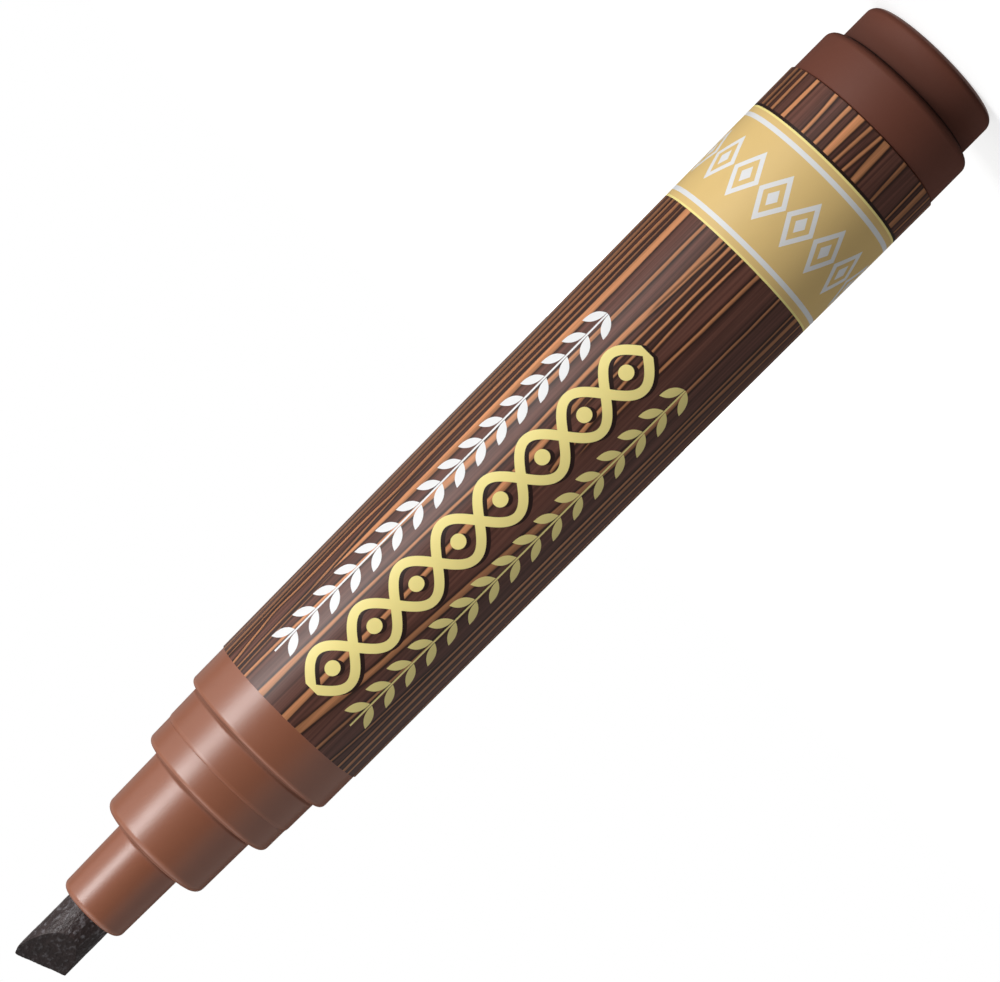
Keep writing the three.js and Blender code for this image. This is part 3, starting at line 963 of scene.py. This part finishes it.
def grain_streak_group():
    """One streak of the wood grain over what is under it, with a dark line on each side."""
    inputs = dict.fromkeys(("Under", "Tan"), "Color")
    inputs |= dict.fromkeys(("Around", "Middle", "Width", "Share"), "Float")
    tree, given, results = group_tree("grain_streak", inputs, {"Colour": "Color"})
    offset = worked(tree, "WRAP", worked(tree, "SUBTRACT", given["Around"], given["Middle"]), 180.0, -180.0)
    half = worked(tree, "MULTIPLY", given["Width"], 0.5)
    past = worked(tree, "SUBTRACT", worked(tree, "ABSOLUTE", offset), half)
    present = eased(tree, given["Width"], *STREAK_FADE)
    body = worked(tree, "MULTIPLY", eased(tree, past, *STREAK_EDGE, 1.0, 0.0), present)
    line = worked(tree, "MULTIPLY", eased(tree, past, *STREAK_LINE, STREAK_LINE_DEPTH, 0.0), present)
    under = lit(tree, given["Under"], worked(tree, "SUBTRACT", 1.0, line))
    slope = worked(tree, "DIVIDE", offset, worked(tree, "MAXIMUM", half, LEAST_HALF_WIDTH))
    tan = lit(tree, given["Tan"], eased(tree, slope, -1.0, 0.6, *STREAK_LEVELS))
    share = worked(tree, "MULTIPLY", body, given["Share"])
    tree.links.new(blended(tree, share, under, tan), results["Colour"])
    return tree


def row_tree(name, *sizes):
    """A group that masks a row of shapes, from places along and across it."""
    inputs = dict.fromkeys(("Along", "Across", "Start", "End", *sizes), "Float")
    return group_tree(name, inputs, {"Mask": "Float"})


def steps_along(tree, given, pitch):
    """How many of a row's steps lie behind a place."""
    return worked(tree, "DIVIDE", worked(tree, "SUBTRACT", given["Along"], given["Start"]), pitch)


def row_mask(tree, given, results, first, second):
    """Puts out a row's two shapes, from the row's start to its end."""
    begun = worked(tree, "GREATER_THAN", given["Along"], given["Start"])
    not_over = worked(tree, "LESS_THAN", given["Along"], given["End"])
    inside = worked(tree, "MULTIPLY", begun, not_over)
    shapes = worked(tree, "MAXIMUM", first, second)
    tree.links.new(worked(tree, "MULTIPLY", shapes, inside), results["Mask"])
    return tree


def lozenge_row_group():
    """A chain of open lozenges, each with a solid one in its middle."""
    tree, given, results = row_tree("lozenge_row", "Pitch", "Length", "Height")
    in_cell = worked(tree, "SUBTRACT", worked(tree, "FRACT", steps_along(tree, given, given["Pitch"])), 0.5)
    along = worked(tree, "MULTIPLY", worked(tree, "ABSOLUTE", in_cell), given["Pitch"])
    along = worked(tree, "DIVIDE", worked(tree, "MULTIPLY", along, 2.0), given["Length"])
    across = worked(tree, "MULTIPLY", worked(tree, "ABSOLUTE", given["Across"]), 2.0)
    out = worked(tree, "ADD", along, worked(tree, "DIVIDE", across, given["Height"]))
    frame_line = worked(tree, "COMPARE", out, LOZENGE_FRAME, LOZENGE_FRAME_HALF_WIDTH)
    core = worked(tree, "LESS_THAN", out, LOZENGE_CORE)
    return row_mask(tree, given, results, frame_line, core)


def twined_row_group():
    """Two strands that wind round each other, with a dot in each loop."""
    tree, given, results = row_tree("twined_row")
    loops = steps_along(tree, given, TWINE_LOOP)
    turn = worked(tree, "MULTIPLY", loops, math.pi)
    reach = worked(tree, "MULTIPLY", worked(tree, "ABSOLUTE", worked(tree, "SINE", turn)), TWINE_REACH)
    slope = worked(tree, "MULTIPLY", worked(tree, "COSINE", turn), TWINE_REACH * math.pi / TWINE_LOOP)
    steepness = worked(tree, "SQRT", worked(tree, "MULTIPLY_ADD", slope, slope, 1.0))
    off = worked(tree, "ABSOLUTE", worked(tree, "SUBTRACT", worked(tree, "ABSOLUTE", given["Across"]), reach))
    strand = worked(tree, "LESS_THAN", off, worked(tree, "MULTIPLY", steepness, TWINE_STROKE / 2))
    from_middle = worked(tree, "SUBTRACT", worked(tree, "FRACT", loops), 0.5)
    in_loop = worked(tree, "MULTIPLY", from_middle, TWINE_LOOP)
    across_squared = worked(tree, "MULTIPLY", given["Across"], given["Across"])
    from_dot = worked(tree, "SQRT", worked(tree, "MULTIPLY_ADD", in_loop, in_loop, across_squared))
    dot = worked(tree, "LESS_THAN", from_dot, TWINE_DOT)
    return row_mask(tree, given, results, strand, dot)


def leaf_row_group():
    """A straight stem with pairs of leaves that lean toward its end."""
    tree, given, results = row_tree("leaf_row")
    cosine, sine = math.cos(LEAF_LEAN), math.sin(LEAF_LEAN)
    along = worked(tree, "MULTIPLY", worked(tree, "FRACT", steps_along(tree, given, LEAF_PITCH)), LEAF_PITCH)
    from_stem = worked(tree, "ABSOLUTE", given["Across"])
    across = worked(tree, "SUBTRACT", from_stem, LEAF_ROOT)
    down_leaf = worked(tree, "MULTIPLY_ADD", across, sine, worked(tree, "MULTIPLY", along, cosine))
    off_leaf = worked(tree, "MULTIPLY_ADD", across, cosine, worked(tree, "MULTIPLY", along, -sine))
    share = worked(tree, "DIVIDE", down_leaf, LEAF_LENGTH)
    bulge = worked(tree, "MULTIPLY", share, worked(tree, "SUBTRACT", 1.0, share))
    half_width = worked(tree, "MULTIPLY", bulge, 2 * LEAF_WIDTH)
    leaf = worked(tree, "LESS_THAN", worked(tree, "ABSOLUTE", off_leaf), half_width)
    stem = worked(tree, "LESS_THAN", from_stem, LEAF_STEM)
    return row_mask(tree, given, results, leaf, stem)


def grain_colour(tree, where, around, along):
    """The wood grain: fine pores on the dark ground, then every streak over it."""
    streak = grain_streak_group()
    lines = cloud(tree, where, LINES_PER_METRE)
    pores = eased(tree, cloud(tree, where, PORES_PER_METRE), 0.3, 0.7, 0.76, 1.24)
    strands = eased(tree, cloud(tree, where, STRANDS_PER_METRE, 3.0), 0.25, 0.75, 0.72, 1.15)
    dark_level = worked(tree, "MULTIPLY", pores, eased(tree, lines, 0.35, 0.65, 0.8, 1.2))
    tan_level = worked(tree, "MULTIPLY", strands, eased(tree, lines, 0.35, 0.65, 0.88, 1.08))
    colour = lit(tree, GRAIN_DARK, dark_level)
    tan = lit(tree, GRAIN_TAN, tan_level)
    sway = centred(tree, cloud(tree, where, SWAY_PER_METRE), GRAIN_SWAY)
    ragged = centred(tree, cloud(tree, where, RAGGED_PER_METRE), GRAIN_RAGGEDNESS)
    wavering = worked(tree, "ADD", around, worked(tree, "ADD", sway, ragged))
    for share, *knots in GRAIN_STREAKS:
        path = [(at, middle / (2 * FARTHEST_STREAK) + 0.5) for at, middle, width in knots]
        widths = [(at, width / WIDEST_STREAK) for at, middle, width in knots]
        inputs = {"Under": colour, "Tan": tan, "Around": wavering, "Share": share}
        inputs["Middle"] = centred(tree, curve_of(tree, along, path), FARTHEST_STREAK)
        inputs["Width"] = worked(tree, "MULTIPLY", curve_of(tree, along, widths), WIDEST_STREAK)
        colour = grouped(tree, streak, inputs)["Colour"]
    return colour


def printed(tree, colour, around, height, across):
    """The print over the grain. height and across are millimetres, around is degrees."""
    lozenge_row = lozenge_row_group()
    twined_row = twined_row_group()
    leaf_row = leaf_row_group()
    ends = {"Start": ROW_REAR, "End": ROW_FRONT}

    def shifted(value, by):
        return worked(tree, "ADD", value, by)

    def inked(mask, ink):
        return blended(tree, mask, colour, ink)

    def belt(middle, half_width):
        return worked(tree, "COMPARE", height, middle, half_width)

    for shift, ink in ((PRINT_SHADOW, INK_SHADOW), (0.0, PALE_GOLD)):
        at = {"Along": shifted(height, shift), "Across": shifted(across, shift)}
        colour = inked(grouped(tree, twined_row, at | ends)["Mask"], ink)
    for offset, ink in ((LEAF_ROW_OFFSET, WHITE_INK), (-LEAF_ROW_OFFSET, PALE_GOLD)):
        at = {"Along": height, "Across": shifted(across, -offset)}
        colour = inked(grouped(tree, leaf_row, at | ends)["Mask"], ink)
    band_middle = (BAND_REAR + BAND_FRONT) / 2
    band_half = (BAND_FRONT - BAND_REAR) / 2
    colour = inked(belt(band_middle - PRINT_SHADOW / 2, band_half + PRINT_SHADOW / 2), INK_SHADOW)
    colour = inked(belt(band_middle, band_half), PALE_GOLD)
    colour = inked(belt(band_middle, band_half - BAND_RIM), GOLD)
    for edge in (BAND_REAR + BAND_LINE_INSET, BAND_FRONT - BAND_LINE_INSET):
        colour = inked(belt(edge, BAND_LINE / 2), WHITE_INK)
    turn = 360 / BAND_LOZENGES
    chain = {"Along": around, "Across": shifted(height, -band_middle), "Start": -180.0, "End": 180.0}
    chain |= {"Pitch": turn, "Length": LOZENGE_LENGTH_SHARE * turn, "Height": LOZENGE_HEIGHT}
    return inked(grouped(tree, lozenge_row, chain)["Mask"], WHITE_INK)


# Finishes
SKIN_DEPTH = 0.004 * MM
PLASTIC_FLOW = 0.015
# Share of the rubbed colour on standing edges: partly wear, partly a painted edge highlight.
PLASTIC_WEAR_AND_EDGE_LIGHT = 0.1
PLASTIC_DULLNESS = 1.2
FILM_GLOSS = 0.4
FILM_ROUGHNESS = 0.42
FILM_FLOW = 0.03
FILM_SKIN_DEPTH = 0.003 * MM
FIBRE_GLOSS = 0.28
FIBRE_ROUGHNESS = 0.45
FIBRE_WEAR = 0.2
FIBRE_DULLNESS = 0.4
FIBRE_EDGE_SHARE = 0.3
WRAP_ALPHA = 0.6
WRAP_ROUGHNESS = 0.35
WRAP_FLOW = 0.04

# The rubbed colours lighten standing edges, as wear and as a painted edge highlight.
WALNUT_BROWN = paint(144, 88, 64)
RUBBED_AND_EDGE_LIT_WALNUT = paint(180, 121, 92)
DARK_BROWN = paint(106, 60, 46)
RUBBED_AND_EDGE_LIT_DARK_BROWN = paint(128, 84, 68)
FELT_STAIN = paint(52, 41, 40)
PALE_FELT = paint(131, 127, 131)
FIBRE_STAIN = paint(74, 44, 30)
PALE_FIBRE = paint(120, 84, 62)
MILKY = paint(217, 210, 196)


def plastic_finish(name, colour, worn_and_edge_lit, gloss, roughness, painted_shade):
    material, tree, shader = new_finish(name, Specular_IOR_Level=gloss)
    skin = grouped(tree, moulded_skin, {"Colour": colour, "Roughness": roughness, "Flow": PLASTIC_FLOW})
    inputs = {"Colour": skin["Colour"], "Roughness": skin["Roughness"], "Edge": edge_value(tree)}
    inputs |= {"Worn And Edge Lit Colour": worn_and_edge_lit, "Wear And Edge Light": PLASTIC_WEAR_AND_EDGE_LIGHT, "Painted Shade": painted_shade, "Dullness": PLASTIC_DULLNESS}
    surfaced(tree, shader, grouped(tree, edge_wear_and_painted_light, inputs), skin["Height"], SKIN_DEPTH)
    return material


def film_finish():
    material, tree, shader = new_finish("grained_film", Specular_IOR_Level=FILM_GLOSS)
    where = object_place(tree)
    apart = place(tree, "ShaderNodeSeparateXYZ", {0: where}).outputs
    turn = worked(tree, "ARCTAN2", apart["X"], worked(tree, "MULTIPLY", apart["Y"], -1.0))
    around = worked(tree, "DEGREES", turn)
    height = worked(tree, "DIVIDE", apart["Z"], MM)
    across = worked(tree, "MULTIPLY", turn, film_high.x / MM)
    film_length = film_high.z - film_low.z
    along = worked(tree, "DIVIDE", worked(tree, "SUBTRACT", apart["Z"], film_low.z), film_length)
    grain = grain_colour(tree, where, around, along)
    colour = printed(tree, grain, around, height, across)
    skin = grouped(tree, moulded_skin, {"Colour": colour, "Roughness": FILM_ROUGHNESS, "Flow": FILM_FLOW})
    surfaced(tree, shader, skin, skin["Height"], FILM_SKIN_DEPTH)
    return material


def fibre_finish(name, colour, pale, pale_share, fineness, depth, painted_shade):
    material, tree, shader = new_finish(name, Specular_IOR_Level=FIBRE_GLOSS)
    edge = edge_value(tree)
    # The share of pale fibres grows with the edge value.
    share = worked(tree, "MULTIPLY_ADD", edge, FIBRE_EDGE_SHARE * pale_share, pale_share)
    inputs = {"Colour": colour, "Pale Colour": pale, "Pale Share": share, "Fineness": fineness}
    strands = grouped(tree, fibre_strands, inputs)
    inputs = {"Colour": strands["Colour"], "Roughness": FIBRE_ROUGHNESS, "Edge": edge}
    inputs |= {"Worn And Edge Lit Colour": pale, "Wear And Edge Light": FIBRE_WEAR, "Painted Shade": painted_shade, "Dullness": FIBRE_DULLNESS}
    surfaced(tree, shader, grouped(tree, edge_wear_and_painted_light, inputs), strands["Height"], depth)
    return material


def clear_film_finish():
    material, tree, shader = new_finish("milky_film", Alpha=WRAP_ALPHA)
    skin = grouped(tree, moulded_skin, {"Colour": MILKY, "Roughness": WRAP_ROUGHNESS, "Flow": WRAP_FLOW})
    surfaced(tree, shader, skin, skin["Height"], SKIN_DEPTH)
    return material


# The last value darkens recesses and the shaded walls beside them with painted shade.
brown_plastic = plastic_finish(
    "satin_brown", WALNUT_BROWN, RUBBED_AND_EDGE_LIT_WALNUT, gloss=0.65, roughness=0.36, painted_shade=0.6
)
dark_brown_plastic = plastic_finish(
    "satin_dark_brown", DARK_BROWN, RUBBED_AND_EDGE_LIT_DARK_BROWN, gloss=0.35, roughness=0.55, painted_shade=0.8
)
wood_grain_film = film_finish()
# The last value darkens places below an edge value of 0, such as the nib's cut top, with painted shade.
nib_felt = fibre_finish(
    "stained_felt",
    FELT_STAIN,
    PALE_FELT,
    pale_share=0.57,
    fineness=(2600, 2600, 2000),
    depth=0.12 * MM,
    painted_shade=0.47,
)
ink_fibre = fibre_finish(
    "stained_fibre",
    FIBRE_STAIN,
    PALE_FIBRE,
    pale_share=0.5,
    fineness=(5200, 5200, 420),
    depth=0.02 * MM,
    painted_shade=0.3,
)
clear_film = clear_film_finish()


# Pieces on their bodies
def dressed(piece, node, body, finish):
    """Gives a piece its finish and its place in the frame, where it stands for a node."""
    piece.data.materials.clear()
    piece.data.materials.append(finish)
    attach(piece, body)
    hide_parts(node)


dressed(tail_plug(), "tail_plug", "marker", dark_brown_plastic)
dressed(barrel(), "barrel", "marker", brown_plastic)
dressed(film_sleeve(), "wood_grain_sleeve", "marker", wood_grain_film)
dressed(nose(), "nose", "marker", brown_plastic)
dressed(fibre_core(), "reservoir_core", "marker", ink_fibre)
dressed(core_wrap(), "reservoir_wrap", "marker", clear_film)
dressed(felt_nib(), "nib", "nib", nib_felt)


# Stage: a white floor, a white world, a dark dish that only reflections see, and soft panels
WHITE = (1, 1, 1, 1)
WORLD_LIGHT = 0.13
FLOOR_RADIUS = 3.0
FLOOR_SEGMENTS = 64
FLOOR_DROP = 0.02 * MM
FLOOR_MATT = (0.15, 0.15, 0.15, 1)
FLOOR_SHADOW = (0.45, 0.45, 0.45, 1)
FLOOR_GLOW_REACH = (0.1, 0.5)
FLOOR_GLOW_LEVELS = (0.71, 1.0)
SURROUND_HOLE = 0.0076
SURROUND_RADIUS = 0.9
SURROUND_LIFT = 0.0003
SURROUND_HEIGHT = 1.0
SURROUND_LEVEL = 0.06

# A panel is its degrees round from the camera's side toward +X, distance from the axis, level, the level that
# it aims at, width, height and watts, then the rays that pass it by. The camera's always do.
PANELS = {
    "key_panel": (48, 0.62, 0.35, 0.35, 0.24, 0.34, 3.7),
    "low_key_panel": (48, 0.62, 0.09, 0.09, 0.24, 0.18, 0.6),
    "front_fill": (-92, 0.6, 0.37, 0.37, 1.3, 0.7, 0.9),
    "top_panel": (40, 0.2, 0.9, 0.0, 0.5, 0.5, 1.2),
    "side_sheen": (72, 0.7, 0.3, 0.3, 1.3, 0.6, 2.6, "diffuse"),
    "rim_sheen": (146, 0.7, 0.3, 0.3, 0.45, 0.6, 0.28, "diffuse"),
    "lower_fill": (-80, 0.7, 0.2, 0.06, 0.6, 0.3, 0.6, "glossy"),
    "tail_fill": (60, 0.5, 0.05, 0.01, 0.3, 0.09, 0.35, "glossy"),
    "rear_fill": (190, 0.9, 0.3, 0.3, 0.6, 0.6, 5.4, "glossy"),
}


def emptied(owner):
    """The node tree of a new material or world, with nothing in it."""
    owner.use_nodes = True
    owner.node_tree.nodes.clear()
    return owner.node_tree


def hidden_from(thing, *rays):
    for ray in rays:
        setattr(thing, "visible_" + ray, False)


def by_sight(tree, light, sight):
    """One shader for the rays that only carry light, another for those that see the background itself."""
    path = place(tree, "ShaderNodeLightPath").outputs
    seen = worked(tree, "MAXIMUM", path["Is Camera Ray"], path["Is Glossy Ray"])
    seen = worked(tree, "MAXIMUM", seen, path["Is Transmission Ray"])
    inputs = {0: seen, 1: light.outputs[0], 2: sight.outputs[0]}
    return place(tree, "ShaderNodeMixShader", inputs).outputs[0]


def white_world():
    world = bpy.data.worlds.new("white_studio")
    bpy.context.scene.world = world
    tree = emptied(world)
    light = place(tree, "ShaderNodeBackground", {"Color": WHITE, "Strength": WORLD_LIGHT})
    background = place(tree, "ShaderNodeBackground", {"Color": WHITE, "Strength": 1.0})
    place(tree, "ShaderNodeOutputWorld", {"Surface": by_sight(tree, light, background)})


def white_floor():
    """A floor that looks white and keeps the marker's soft shadow."""
    build = bmesh.new()
    bmesh.ops.create_circle(build, cap_ends=True, segments=FLOOR_SEGMENTS, radius=FLOOR_RADIUS)
    floor = shown("floor", build)
    material = bpy.data.materials.new("white_floor")
    tree = emptied(material)
    matt = place(tree, "ShaderNodeBsdfDiffuse", {"Color": FLOOR_MATT})
    shadow = place(tree, "ShaderNodeBsdfDiffuse", {"Color": FLOOR_SHADOW})
    away = place(tree, "ShaderNodeVectorMath", {0: object_place(tree)}, operation="LENGTH").outputs["Value"]
    glow_level = eased(tree, away, *FLOOR_GLOW_REACH, *FLOOR_GLOW_LEVELS)
    glow = place(tree, "ShaderNodeEmission", {"Color": WHITE, "Strength": glow_level})
    sight = place(tree, "ShaderNodeAddShader", {0: shadow.outputs[0], 1: glow.outputs[0]})
    place(tree, "ShaderNodeOutputMaterial", {"Surface": by_sight(tree, matt, sight)})
    floor.data.materials.append(material)
    floor.location.z = -FLOOR_DROP


def dark_surround():
    """A dark dish round the marker that only reflections see, so that its sides don't mirror the white."""
    build = bmesh.new()
    inner = ring_of(build, SURROUND_HOLE, SURROUND_LIFT)
    outer = ring_of(build, SURROUND_RADIUS, SURROUND_LIFT)
    joined_rings(build, inner, outer)
    joined_rings(build, outer, ring_of(build, SURROUND_RADIUS, SURROUND_HEIGHT))
    surround = shown("dark_surround", build)
    material = bpy.data.materials.new("dark_surround")
    tree = emptied(material)
    glow = place(tree, "ShaderNodeEmission", {"Color": WHITE, "Strength": SURROUND_LEVEL})
    place(tree, "ShaderNodeOutputMaterial", {"Surface": glow.outputs[0]})
    surround.data.materials.append(material)
    hidden_from(surround, "camera", "diffuse", "transmission", "volume_scatter", "shadow")


def soft_panel(name, azimuth_deg, distance, level, aim_level, width, height, power, *unseen_by):
    """A soft panel round the marker that faces a level of the marker's axis."""
    light = bpy.data.lights.new(name, "AREA")
    light.shape = "RECTANGLE"
    light.size = width
    light.size_y = height
    light.energy = power
    azimuth = math.radians(azimuth_deg)
    middle = Vector((distance * math.sin(azimuth), -distance * math.cos(azimuth), level))
    panel = bpy.data.objects.new(name, light)
    panel.location = middle
    panel.rotation_euler = (Vector((0, 0, aim_level)) - middle).to_track_quat("-Z", "Y").to_euler()
    hidden_from(panel, "camera", *unseen_by)
    bpy.context.scene.collection.objects.link(panel)


def photo_camera():
    camera = bpy.data.objects.new("camera", bpy.data.cameras.new("camera"))
    camera.data.lens = CAMERA_LENS
    camera.data.sensor_width = CAMERA_SENSOR
    camera.data.clip_start = CAMERA_CLIP
    camera.location = (CAMERA_ASIDE, -CAMERA_DISTANCE, CAMERA_LEVEL)
    camera.rotation_euler = (math.radians(90), math.radians(CAMERA_ROLL_DEG), 0)
    bpy.context.scene.collection.objects.link(camera)
    bpy.context.scene.camera = camera


white_world()
white_floor()
dark_surround()
for panel_name, panel_values in PANELS.items():
    soft_panel(panel_name, *panel_values)
photo_camera()
bpy.context.scene.view_settings.view_transform = "Standard"
